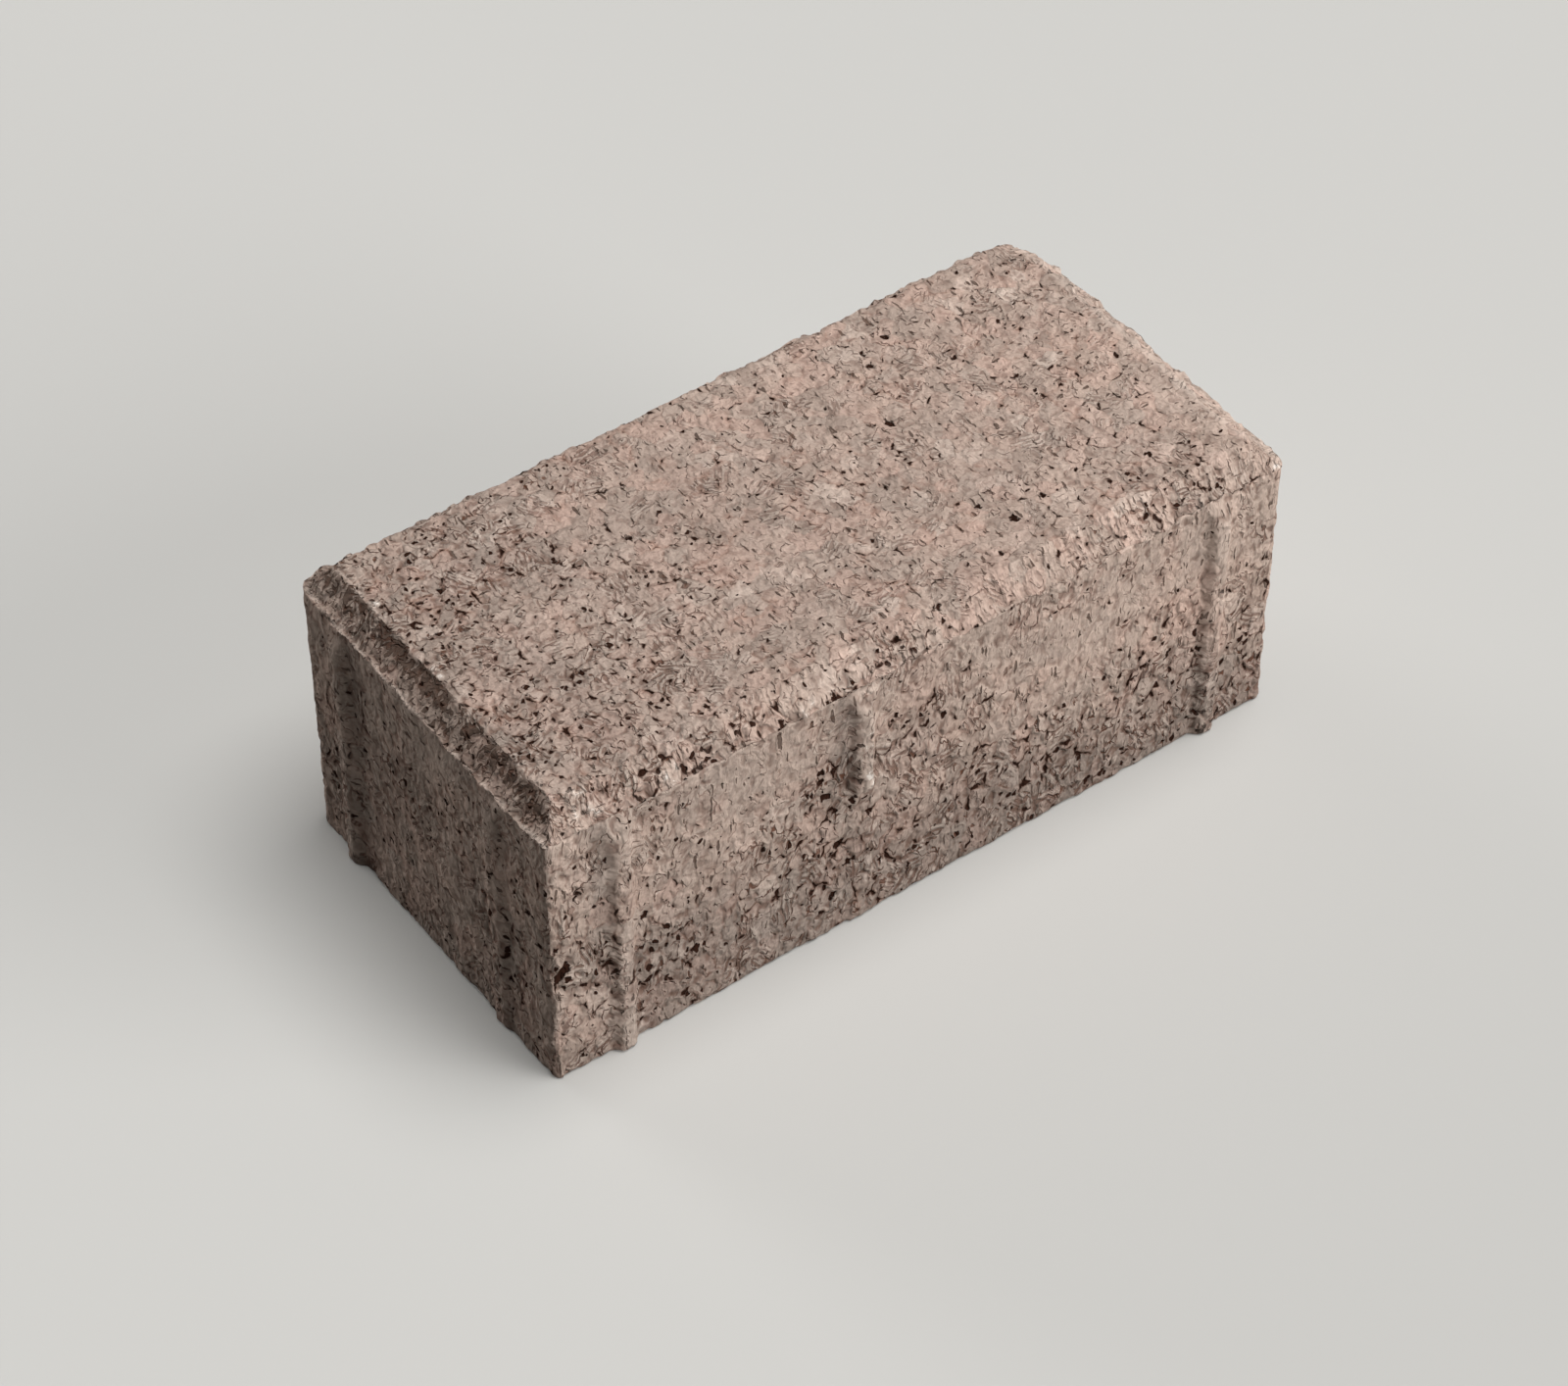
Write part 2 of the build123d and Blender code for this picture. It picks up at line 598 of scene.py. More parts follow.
@dataclass(frozen=True)
class Grain:
    """Seeded noise fields, worked out for whole arrays of points in millimetres."""

    seed: int

    def _random(self, cells: np.ndarray, channel: int) -> np.ndarray:
        """Numbers from 0 to 1 that belong to whole-number cells.

        Args:
            cells: the cells, one row of three each.
            channel: which of a cell's numbers is wanted.

        Returns:
            One number a cell.
        """
        keys = cells.astype(np.int64).astype(np.uint64)
        mixed = keys[..., 0] * np.uint64(0x9E3779B97F4A7C15)
        mixed ^= keys[..., 1] * np.uint64(0xC2B2AE3D27D4EB4F)
        mixed ^= keys[..., 2] * np.uint64(0x165667B19E3779F9)
        mixed += np.uint64(self.seed * 7919 + channel * 104729)
        for shift, factor in ((30, 0xBF58476D1CE4E5B9), (27, 0x94D049BB133111EB)):
            mixed ^= mixed >> np.uint64(shift)
            mixed *= np.uint64(factor)
        mixed ^= mixed >> np.uint64(31)
        return (mixed >> np.uint64(40)).astype(float) / float(1 << 24)

    def lumps(self, points: np.ndarray, size: float, layers: int = 1, rough: float = 0.5) -> np.ndarray:
        """Smooth lumps.

        Args:
            points: where the field is read, one row of three each.
            size: the size of the largest lumps.
            layers: how many layers, each half the size of the one before.
            rough: the strength of each layer against the one before.

        Returns:
            One value a point, from about -1 to 1.
        """
        total, strength, whole = np.zeros(len(points)), 1.0, 0.0
        for layer in range(layers):
            scaled = points / size * 2.0**layer + 17.3 * layer
            corner = np.floor(scaled)
            part = scaled - corner
            ease = part**3 * (part * (part * 6 - 15) + 10)
            for dx in (0, 1):
                for dy in (0, 1):
                    for dz in (0, 1):
                        offset = np.array((dx, dy, dz))
                        share = np.prod(np.where(offset == 1, ease, 1 - ease), axis=1)
                        total += strength * share * (self._random(corner + offset, layer) * 2 - 1)
            whole += strength
            strength *= rough
        return total / whole * 1.6

    def seeds(self, points: np.ndarray, size: float) -> tuple[np.ndarray, np.ndarray]:
        """The nearest of scattered seeds.

        Args:
            points: where it is read, one row of three each.
            size: the mean distance between seeds.

        Returns:
            The distance to the nearest seed in millimetres, and that seed's own number from 0 to 1.
        """
        scaled = points / size
        corner = np.floor(scaled)
        best, own = np.full(len(points), 1e9), np.zeros(len(points))
        for dx in (-1, 0, 1):
            for dy in (-1, 0, 1):
                for dz in (-1, 0, 1):
                    cell = corner + np.array((dx, dy, dz))
                    jitter = np.stack([self._random(cell, 50 + axis) for axis in range(3)], axis=1)
                    distance = np.linalg.norm(cell + jitter - scaled, axis=1)
                    nearer = distance < best
                    best = np.where(nearer, distance, best)
                    own = np.where(nearer, self._random(cell, 60), own)
        return best * size, own


@dataclass(frozen=True)
class Rib:
    """One spacer rib: its face, its place there, the height it is broken off at, and what wear left of it."""

    side: Side
    place: float
    broken_below: float = 0.0
    left_over: float = 1.0


@dataclass(frozen=True)
class Spot:
    """A hollow, a crumb or a crumbled patch that stands out: its middle and how far it reaches."""

    place: tuple[float, float, float]
    reach: float

    def share(self, points: np.ndarray) -> np.ndarray:
        """How near the points are: 1 at the spot's middle, 0 at its rim and less than 0 beyond it."""
        return 1 - np.linalg.norm(points - np.array(self.place), axis=1) / self.reach


@dataclass(frozen=True)
class Lattice:
    """The smooth block: its points and faces, and where the corners of the faces lie when it is unfolded.

    Each point has its inset from the outline in plan, and how far a rib raises it.
    """

    points: np.ndarray
    faces: list[list[int]]
    insets: np.ndarray
    raised: np.ndarray
    unfolded: np.ndarray


@dataclass(frozen=True)
class Zones:
    """How far each point belongs to a part of the block or a kind of surface, from 0 to 1."""

    side: np.ndarray
    on_left: np.ndarray
    long_edge: np.ndarray
    chamfer: np.ndarray
    end_chamfer: np.ndarray
    nose: np.ndarray
    crest: np.ndarray
    slurry: np.ndarray
    rough: np.ndarray


@dataclass(frozen=True)
class Wear:
    """The relief and the wear of the surface at each point."""

    flakes: np.ndarray
    waves: np.ndarray
    lumps: np.ndarray
    patchy: np.ndarray
    clusters: np.ndarray
    hollows: np.ndarray
    crumbs: np.ndarray
    crumbled: np.ndarray


@dataclass
class Paver:
    """The block: a lattice over its faces, with chamfer, ribs and the rough relief of pressed concrete."""

    name: str = "paver_skin"
    node: str = "paver"
    slot: str = "concrete"
    length: float = 196.0
    width: float = 96.0
    height: float = 80.0
    chamfer_drop: float = 6.0
    chamfer_run: float = 4.8
    shelf: float = 1.0
    arris_round: float = 0.35
    corner_radius: float = 2.0
    left_back_radius: float = 4.5
    worn_radius: float = 14.0
    rib_proud: float = 1.9
    rib_root: float = 7.0
    rib_crest: float = 3.2
    rib_head_slope: float = 6.0
    rib_head_gap: float = 1.5
    broken_slope: float = 9.0
    stump_proud: float = 0.5
    flake_size: float = 2.9
    hollow_spacing: float = 6.0
    side_scale: tuple[float, float] = (0.88, 0.66)
    pitch: float = 0.84
    edge_lines: tuple[float, ...] = (0.0, 0.35, 1.0, 1.6, 2.3, 3.0, 3.7, 4.4, 5.1, 5.8, 6.5)
    side_margin: float = 0.9
    bottom_rounding: tuple[tuple[float, float], ...] = ((0.3, 0.25), (0.0, 0.8))
    seed: int = 11
    ribs: tuple[Rib, ...] = (
        Rib(Side.FRONT, -80.0), Rib(Side.FRONT, -17.5, 34.0), Rib(Side.FRONT, 80.0),
        Rib(Side.BACK, -80.0), Rib(Side.BACK, 17.5), Rib(Side.BACK, 80.0),
        Rib(Side.LEFT, -28.0, left_over=0.55), Rib(Side.LEFT, 31.0),
        Rib(Side.RIGHT, -30.0), Rib(Side.RIGHT, 30.0),
    )
    hollows: tuple[Spot, ...] = (
        Spot((-95.0, -48.0, 33.0), 2.4), Spot((-84.5, -48.5, 31.0), 1.3), Spot((-83.0, -49.0, 24.0), 1.3),
        Spot((-74.0, -48.0, 38.0), 1.5), Spot((-90.0, -48.0, 38.0), 1.1), Spot((-87.0, -48.0, 48.0), 1.2),
        Spot((-24.6, -47.6, 74.2), 1.8), Spot((-21.6, -47.6, 74.4), 1.8), Spot((-18.8, -47.6, 74.6), 1.6),
        Spot((-29.0, -48.0, 52.0), 1.5), Spot((-27.0, -48.0, 44.0), 1.7), Spot((-24.5, -48.0, 38.0), 1.5),
        Spot((-23.5, -48.0, 27.0), 1.7), Spot((-20.5, -48.0, 20.0), 1.6), Spot((-25.0, -48.0, 11.0), 1.8),
        Spot((-9.0, -48.0, 58.0), 1.5), Spot((-5.5, -48.0, 53.0), 1.4), Spot((3.0, -48.0, 50.0), 1.2),
        Spot((61.0, -48.0, 32.0), 1.7), Spot((58.0, -48.0, 29.0), 1.2), Spot((30.8, 8.6, 80.0), 1.5),
    )
    crumbs: tuple[Spot, ...] = (
        Spot((-17.0, -49.6, 60.0), 1.6), Spot((-16.6, -49.8, 55.0), 1.8), Spot((-16.4, -49.6, 46.5), 2.2),
        Spot((-16.0, -49.0, 43.0), 1.9), Spot((-33.0, -47.0, 75.2), 1.5), Spot((-30.5, -46.0, 76.0), 1.2),
        Spot((-66.0, -47.0, 75.0), 1.6), Spot((-63.5, -46.2, 75.8), 1.4), Spot((32.0, -48.0, 64.0), 1.4),
        Spot((-91.0, 4.0, 80.0), 1.5), Spot((-91.0, 1.0, 80.0), 1.2), Spot((-90.6, 27.0, 80.0), 1.3),
        Spot((-90.0, -40.0, 79.0), 1.6), Spot((-86.0, -42.5, 79.0), 1.6), Spot((95.0, -47.0, 75.5), 1.8),
        Spot((-88.0, -45.5, 76.8), 2.0), Spot((-84.5, -46.3, 76.0), 1.7),
    )
    patches: tuple[Spot, ...] = (
        Spot((-27.0, -48.0, 46.0), 15.0), Spot((-21.0, -48.0, 18.0), 17.0), Spot((-2.0, -48.0, 50.0), 16.0),
        Spot((-90.0, -48.0, 34.0), 13.0), Spot((-70.0, -48.0, 26.0), 14.0), Spot((22.0, -48.0, 18.0), 17.0),
        Spot((58.0, -48.0, 31.0), 9.0), Spot((40.0, -48.0, 14.0), 9.0), Spot((-98.0, 8.0, 46.0), 15.0),
        Spot((-98.0, -28.0, 30.0), 15.0), Spot((-98.0, 36.0, 26.0), 13.0), Spot((-58.0, -50.0, 76.0), 20.0),
        Spot((-82.0, -20.0, 80.0), 20.0), Spot((-72.0, 26.0, 80.0), 22.0), Spot((70.0, -44.0, 78.0), 16.0),
        Spot((-38.0, -47.5, 75.0), 8.0), Spot((-21.0, -47.5, 75.0), 6.0), Spot((-6.0, -47.0, 75.5), 9.0),
    )

    @property
    def arris(self) -> float:
        """Height of the chamfer's foot."""
        return self.height - self.chamfer_drop

    def build(self) -> bpy.types.Object:
        """Makes the skin as a mesh object.

        Returns:
            The object, linked to the scene.
        """
        lattice = self._lattice()
        mesh = bpy.data.meshes.new(self.name)
        mesh.from_pydata((lattice.points * MM).tolist(), [], lattice.faces)
        mesh.update()
        normals = np.zeros(lattice.points.size, np.float32)
        mesh.vertex_normals.foreach_get("vector", normals)
        grain = Grain(self.seed)
        zones = self._zones(grain, lattice)
        wear = self._wear(grain, lattice.points, zones)
        moved = self._roughen(grain, lattice, normals.reshape(-1, 3).astype(float), zones, wear)
        mesh.vertices.foreach_set("co", (moved * MM).astype(np.float32).ravel())
        mesh.polygons.foreach_set("use_smooth", np.ones(len(mesh.polygons), bool))
        for skin, values in self._carried(grain, lattice, zones, wear).items():
            layer = mesh.attributes.new(skin.value, "FLOAT", "POINT")
            layer.data.foreach_set("value", values.astype(np.float32))
        layer = mesh.attributes.new(UNFOLDED, "FLOAT_VECTOR", "CORNER")
        layer.data.foreach_set("vector", lattice.unfolded.astype(np.float32).ravel())
        mesh.update()
        piece = bpy.data.objects.new(self.name, mesh)
        bpy.context.scene.collection.objects.link(piece)
        return piece

    def dress(self, piece: bpy.types.Object, finish: ConcreteFinish) -> None:
        """Gives the skin its finish and seats it in the frame.

        Args:
            piece: the skin.
            finish: what it is made of.
        """
        finish.dress(piece)
        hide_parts(self.node)
        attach(piece, "root")

    def _spread(self, half: float) -> np.ndarray:
        """Lattice lines across the block.

        Args:
            half: half the size that the lines span.

        Returns:
            The places of the lines, the same on both sides of the middle.
        """
        inner = half - self.edge_lines[-1]
        count = max(2, round(2 * inner / self.pitch))
        middle = np.linspace(-inner, inner, count + 1)
        edge = np.array(self.edge_lines[:-1])
        return np.concatenate([-half + edge, middle, half - edge[::-1]])

    def _lattice(self) -> Lattice:
        """The block without relief, as a lattice that closes over its top, its sides and its bottom.

        Returns:
            The smooth block.
        """
        across = (self._spread(self.length / 2), self._spread(self.width / 2))
        grid_x, grid_y = np.meshgrid(*across, indexing="ij")
        inset = np.minimum(self.length / 2 - abs(grid_x), self.width / 2 - abs(grid_y))
        level = np.interp(inset, (0, self.arris_round, self.shelf, self.shelf + self.chamfer_run),
                          (self.arris - self.arris_round, self.arris, self.arris, self.height))
        top = np.stack([*self._round_corners(grid_x, grid_y), level], axis=-1).reshape(-1, 3)
        place = np.arange(grid_x.size).reshape(grid_x.shape)
        faces = np.stack([place[:-1, :-1], place[1:, :-1], place[1:, 1:], place[:-1, 1:]], axis=-1)
        faces = faces.reshape(-1, 4)
        rim = np.concatenate([place[:, 0], place[-1, 1:], place[-2::-1, -1], place[0, -2:0:-1]])
        spread = [self._unfold(grid_x, self.length), self._unfold(grid_y, self.width)]
        spread = np.stack(spread, axis=-1).reshape(-1, 2)
        flat = np.stack([grid_x, grid_y], axis=-1).reshape(-1, 2)[rim]
        steps = np.linalg.norm(np.roll(flat, -1, axis=0) - flat, axis=1)
        around = self.length + self.width + np.concatenate([[0], np.cumsum(steps)])
        sweep = np.stack([around[:-1], around[:-1], around[1:], around[1:]], axis=-1)
        points, raised, corners, quads = [top], [np.zeros(len(top))], [spread[faces.ravel()]], [faces]
        following = np.roll(np.arange(len(rim)), -1)
        last, start, above = rim, len(top), self.arris
        for height, draw_in in self._levels():
            ring = top[rim].copy()
            rise = self._rib_height(flat, height)
            ring[:, 2] = height
            ring[:, :2] += self._outward(flat) * (rise - draw_in)[:, None]
            points.append(ring)
            raised.append(rise)
            here = start + np.arange(len(rim))
            quads.append(np.stack([last, here, here[following], last[following]], axis=-1))
            levels = np.broadcast_to((above, height, height, above), (len(rim), 4))
            corners.append(np.stack([sweep, levels], axis=-1).reshape(-1, 2) * self.side_scale)
            last, start, above = here, start + len(rim), height
        every = np.concatenate(points)
        corners.append(every[last[::-1], :2] - self.length)
        unfolded = np.concatenate(corners)
        return Lattice(
            points=every,
            faces=[*np.concatenate(quads).tolist(), last[::-1].tolist()],
            insets=np.concatenate([inset.ravel(), np.zeros(len(every) - len(top))]),
            raised=np.concatenate(raised),
            unfolded=np.column_stack([unfolded, np.zeros(len(unfolded))]),
        )

    def _levels(self) -> list[tuple[float, float]]:
        """Rings of the lattice down the side faces.

        Returns:
            The height of each ring, and how far the bottom's rounding draws it in.
        """
        top, bottom = self.arris - self.side_margin, self.side_margin
        heights = np.linspace(top, bottom, round((top - bottom) / self.pitch) + 1)
        return [*((float(height), 0.0) for height in heights), *self.bottom_rounding]

    def _unfold(self, places: np.ndarray, size: float) -> np.ndarray:
        """Lays the chamfers flat.

        Args:
            places: places across the block, from its middle.
            size: the block's size that way.

        Returns:
            The places, with the chamfers at both ends as long as they are along their slope.
        """
        head = size / 2 - self.shelf - self.chamfer_run
        foot = head + math.hypot(self.chamfer_run, self.chamfer_drop)
        known = (0, head, size / 2 - self.shelf, size / 2)
        return np.sign(places) * np.interp(abs(places), known, (0, head, foot, foot + self.shelf))

    def _round_corners(self, x: np.ndarray, y: np.ndarray) -> tuple[np.ndarray, np.ndarray]:
        """Bends the lattice round the upright edges.

        Args:
            x: places along the length.
            y: places across the width.

        Returns:
            Both, with each square corner of the lattice turned into a quarter of a disc.
        """
        radii = {(1, 1): self.worn_radius, (-1, 1): self.left_back_radius}
        for way_x, way_y in ((-1, -1), (1, -1), (1, 1), (-1, 1)):
            radius = radii.get((way_x, way_y), self.corner_radius)
            centre_x, centre_y = self.length / 2 - radius, self.width / 2 - radius
            u, v = way_x * x - centre_x, way_y * y - centre_y
            inside = (u > 0) & (v > 0)
            reach = np.maximum(u, v)
            turn = np.where(u >= v, v / np.where(u == 0, 1, u), 2 - u / np.where(v == 0, 1, v)) * math.pi / 4
            x = np.where(inside, way_x * (centre_x + reach * np.cos(turn)), x)
            y = np.where(inside, way_y * (centre_y + reach * np.sin(turn)), y)
        return x, y

    def _outward(self, flat: np.ndarray) -> np.ndarray:
        """Outward directions in plan.

        Args:
            flat: points of the square rim.

        Returns:
            One direction a point, slanting at the corners.
        """
        on_end = np.isclose(abs(flat[:, 0]), self.length / 2)
        on_side = np.isclose(abs(flat[:, 1]), self.width / 2)
        way = np.stack([np.sign(flat[:, 0]) * on_end, np.sign(flat[:, 1]) * on_side], axis=1).astype(float)
        return way / np.linalg.norm(way, axis=1)[:, None]

    def _from_rib(self, rib: Rib, flat: np.ndarray) -> tuple[np.ndarray, np.ndarray]:
        """Measures points in plan from a rib.

        Args:
            rib: the rib.
            flat: the points.

        Returns:
            How far they lie aside from the rib's middle, and how far outside the face that it stands on.
        """
        way = np.array(rib.side.value, float)
        size = self.length / 2 if way[0] else self.width / 2
        along = flat[:, 1] if way[0] else flat[:, 0]
        return along - rib.place, flat @ way - size

    def _rib_height(self, flat: np.ndarray, height: float) -> np.ndarray:
        """How far the ribs stand out at a height.

        Args:
            flat: points of the square rim.
            height: the height.

        Returns:
            One distance a point, 0 between the ribs.
        """
        out = np.zeros(len(flat))
        head = (self.arris - self.rib_head_gap - height) / self.rib_head_slope
        stump = self.stump_proud / self.rib_proud
        for rib in self.ribs:
            aside, beyond = self._from_rib(rib, flat)
            flank = (self.rib_root / 2 - abs(aside)) / ((self.rib_root - self.rib_crest) / 2)
            foot = max(stump, (height - rib.broken_below) / self.broken_slope) if rib.broken_below else 1.0
            share = np.clip(np.minimum(flank, min(head, foot)), 0, 1)
            out = np.maximum(out, np.where(np.isclose(beyond, 0), self.rib_proud * rib.left_over * share, 0))
        return out

    def _zones(self, grain: Grain, lattice: Lattice) -> Zones:
        """Sorts the points by the part of the block that they lie on.

        Args:
            grain: the noise.
            lattice: the smooth block.

        Returns:
            The share of each zone at each point.
        """
        points, height = lattice.points, lattice.points[:, 2]
        side = (height < self.arris - 0.5).astype(float)
        on_left = side * (points[:, 0] < 1 - self.length / 2)
        to_end, to_side = self.length / 2 - abs(points[:, 0]), self.width / 2 - abs(points[:, 1])
        long_edge = (to_side < to_end).astype(float)
        chamfer = (1 - side) * np.clip((self.shelf + self.chamfer_run + 0.7 - lattice.insets) / 0.7, 0, 1)
        limit = 50 + 10 * grain.lumps(points * (1, 1, 0.2), 17.0, 2)
        limit -= 14 * np.clip((points[:, 0] - 10) / 60, 0, 1)
        smeared = np.clip(0.75 + 0.7 * grain.lumps(points, 6.0, 2), 0, 1) * (1 - 0.2 * on_left)
        slurry = side * np.clip((height - limit) / 15.0, 0, 1) * smeared
        return Zones(
            side=side,
            on_left=on_left,
            long_edge=long_edge,
            chamfer=chamfer,
            end_chamfer=chamfer * (1 - long_edge),
            nose=np.clip(1 - abs(height - self.arris) / 3.0, 0, 1),
            crest=np.clip(lattice.raised / self.rib_proud - 0.6, 0, 0.4) / 0.4,
            slurry=slurry,
            rough=1 - 0.75 * slurry,
        )

    def _wear(self, grain: Grain, points: np.ndarray, zones: Zones) -> Wear:
        """Works out the relief and the wear.

        Args:
            grain: the noise.
            points: the smooth block's points.
            zones: the parts of the block.

        Returns:
            Their values at each point.
        """
        distance, own = grain.seeds(points + 0.9 * grain.lumps(points, 2.4)[:, None], self.flake_size)
        return Wear(
            flakes=(own - 0.5) * 0.9 - (distance / self.flake_size) ** 2 * 0.7 + 0.2,
            waves=grain.lumps(points, 9.0, 3, 0.55),
            lumps=grain.lumps(points + 31.0, 2.8, 2, 0.6),
            patchy=np.clip(0.55 + 1.3 * grain.lumps(points + 83.0, 19.0, 2), 0, 1),
            clusters=np.clip(0.65 - 1.3 * grain.lumps(points + 9.0, 4.6, 2, 0.6), 0, 1),
            hollows=self._hollowed(grain, points, zones.rough) * (1 - zones.end_chamfer),
            crumbs=self._crumbed(grain, points),
            crumbled=self._crumbled(grain, points) * zones.rough,
        )

    def _hollowed(self, grain: Grain, points: np.ndarray, rough: np.ndarray) -> np.ndarray:
        """Depth of the larger hollows.

        Args:
            grain: the noise.
            points: the smooth block's points.
            rough: how rough the surface is there.

        Returns:
            1 at the middle of a hollow, falling to 0 at its rim.
        """
        stirred = points + 0.9 * grain.lumps(points + 71.0, 1.8)[:, None] * np.array((1, -1, 1))
        distance, own = grain.seeds(stirred, self.hollow_spacing)
        depth = np.where(own > 0.7, 1 - distance / (0.4 + 0.9 * own * rough), 0)
        return np.clip(np.maximum(depth, self._nearest(self.hollows, stirred)), 0, 1)

    def _crumbed(self, grain: Grain, points: np.ndarray) -> np.ndarray:
        """How far pale crumbs stand out, from 0 to 1."""
        stirred = points + 0.8 * grain.lumps(points + 19.0, 1.7)[:, None] * np.array((-1, 1, 1))
        return np.maximum(self._nearest(self.crumbs, stirred), 0)

    def _crumbled(self, grain: Grain, points: np.ndarray) -> np.ndarray:
        """How far the surface has crumbled, from 0 outside the patches' ragged rims to 1."""
        share = self._nearest(self.patches, points)
        return np.clip(share * 1.4 + 0.7 * grain.lumps(points + 41.0, 5.0, 2), 0, 1) * (share > -0.4)

    @staticmethod
    def _nearest(spots: Sequence[Spot], points: np.ndarray) -> np.ndarray:
        """The largest share that any of the spots has in each point."""
        return np.max([spot.share(points) for spot in spots], axis=0)

    def _painted_rib_shadows(self, points: np.ndarray) -> np.ndarray:
        """Painted shadow beside the ribs of the front and the left, on their side away from the light.

        Args:
            points: the smooth block's points.

        Returns:
            A value from 0 to 1.
        """
        x, height = points[:, 0], points[:, 2]
        rib_shadow = np.zeros(len(points))
        for rib in self.ribs:
            if rib.side in (Side.FRONT, Side.LEFT):
                aside, beyond = self._from_rib(rib, points[:, :2])
                beside = np.exp(-((aside + 5.0) / 2.8) ** 2) * (beyond > -1)
                beside *= np.clip(0.8 - x / 160, 0, 1) * max(0.0, 2 * rib.left_over - 1)
                beside *= np.clip((height - 25) / 25, 0.3, 1)
                rib_shadow = np.maximum(rib_shadow, beside * np.clip((height - rib.broken_below) / 12, 0, 1))
        return rib_shadow

    def _roughen(self, grain: Grain, lattice: Lattice, normals: np.ndarray, zones: Zones,
                 wear: Wear) -> np.ndarray:
        """Roughens the block, inside the box of the solid.

        Args:
            grain: the noise.
            lattice: the smooth block.
            normals: the normals of its points.
            zones: the parts of the block.
            wear: the relief and the wear.

        Returns:
            The moved points.
        """
        points, insets = lattice.points, lattice.insets
        on_head = 1 - zones.side
        grooves = np.clip(grain.lumps(points * (1, 0.25, 0.25), 2.0) - 0.1, 0, 1) * wear.patchy
        brink = on_head * (1 - zones.long_edge) * np.clip(1 - abs(insets - 5.6) / 1.9, 0, 1)
        edge = on_head * np.clip(1 - abs(insets - 5.2) / 2.2, 0, 1) + zones.nose * (1 - 0.5 * zones.side)
        depth = zones.rough * (0.32 + 0.12 * zones.side + 0.3 * wear.crumbled) * (1 - 0.5 * zones.crest)
        move = depth * wear.flakes + 0.6 * wear.crumbs
        move += 0.18 * wear.waves - 0.9 * wear.hollows - 0.2 * wear.crumbled
        move += zones.end_chamfer * (0.5 * wear.lumps - 0.1)
        move -= 1.1 * brink * np.clip(wear.clusters - 0.35, 0, 1)
        move -= zones.chamfer * zones.long_edge * 0.9 * grooves
        move += 0.22 * edge * grain.lumps(points + 91.0, 1.4)
        moved = points + normals * move[:, None]
        moved[:, 2] -= 0.5 * on_head
        self._wave_arris(grain, points, moved)
        low, high = (np.array(corner) / MM for corner in CAD_BOX)
        moved = np.clip(moved, low, high)
        moved[points[:, 2] == 0, 2] = 0
        return moved

    def _wave_arris(self, grain: Grain, points: np.ndarray, moved: np.ndarray) -> None:
        """Makes the arris wander and crumble a little, in and out and up and down.

        Args:
            grain: the noise.
            points: the smooth block's points.
            moved: the rough block's points, which are changed.
        """
        near = np.clip(1 - abs(points[:, 2] - self.arris) / 4.0, 0, 1)
        sway = (0.5 * grain.lumps(points * (1, 1, 0.3), 11.0, 2) + 0.35 * grain.lumps(points, 1.9)) * near
        lift = (0.8 * grain.lumps(points + 57.0, 9.0, 2) + 0.4 * grain.lumps(points + 5.0, 1.9)) * near
        out = points[:, :2] / np.array((self.length / 2, self.width / 2))
        on_end = abs(out[:, 0]) > abs(out[:, 1])
        moved[:, 0] += np.where(on_end, np.sign(out[:, 0]) * sway, 0)
        moved[:, 1] += np.where(on_end, 0, np.sign(out[:, 1]) * sway)
        moved[:, 2] += lift

    def _carried(self, grain: Grain, lattice: Lattice, zones: Zones, wear: Wear) -> dict[Skin, np.ndarray]:
        """Works out what the finish reads.

        Args:
            grain: the noise.
            lattice: the smooth block.
            zones: the parts of the block.
            wear: the relief and the wear.

        Returns:
            One value a point for each kind of value.
        """
        points, insets, side = lattice.points, lattice.insets, zones.side
        x, on_head = points[:, 0], 1 - side
        blush = np.clip(grain.lumps(points + 11.0, 5.5, 2) * 2 - 0.15, 0, 1)
        coarse = np.clip((-x - 10) / 70, 0, 1) * on_head
        foot = np.clip(1 - points[:, 2] / 42, 0, 1) * np.clip(x / 40 + 2.6, 0.2, 1)
        # Painted light and shade: the slope along the length makes the right end lighter and the left end
        # darker, and the left end face is kept darker than its neighbours. Besides, the tone has random
        # lumps, is darker towards the bottom of the side faces and on crumbled patches, and is lighter on the
        # side faces, most of all near the left end.
        tone = 0.5 + 0.13 * grain.lumps(points, 9.0, 3) + x * (0.0014 + 0.0006 * side)
        tone -= foot * (0.85 * side - 0.7 * zones.on_left) + (0.12 + 0.08 * side) * wear.crumbled
        tone += 0.1 * side * (1 + 1.5 * (x < -80)) - 0.22 * zones.on_left
        # Painted shadow beside the ribs.
        tone -= 0.55 * side * self._painted_rib_shadows(points)
        combed = 0.45 + 0.25 * side - 0.1 * zones.on_left + 1.6 * grain.lumps(points + 23.0, 6.0, 2)
        combed += 0.4 * coarse + 0.4 * foot * side + 0.35 * zones.chamfer * zones.long_edge
        pitted = np.clip(0.3 + 0.6 * grain.lumps(points, 14.0, 2) + 0.5 * coarse, 0, 1) + 0.3 * coarse
        pitted += 1.3 * wear.crumbled + (0.5 + 0.5 * foot + 0.3 * np.clip(x / 50, 0, 1)) * side
        pitted *= (1 - 0.6 * zones.end_chamfer) * (1 - 0.1 * zones.on_left)
        front_edge = zones.long_edge * on_head * np.clip(1.5 - insets / 3.0, 0, 1)
        pitted += 2.1 * front_edge * np.clip(1.6 * wear.crumbled, 0, 1)
        # Painted shade for the left end chamfer: some all over it, and more in clusters towards its top edge.
        shaded = 0.3 + 0.7 * np.clip((insets - 2.4) / 1.4, 0, 1) * wear.clusters
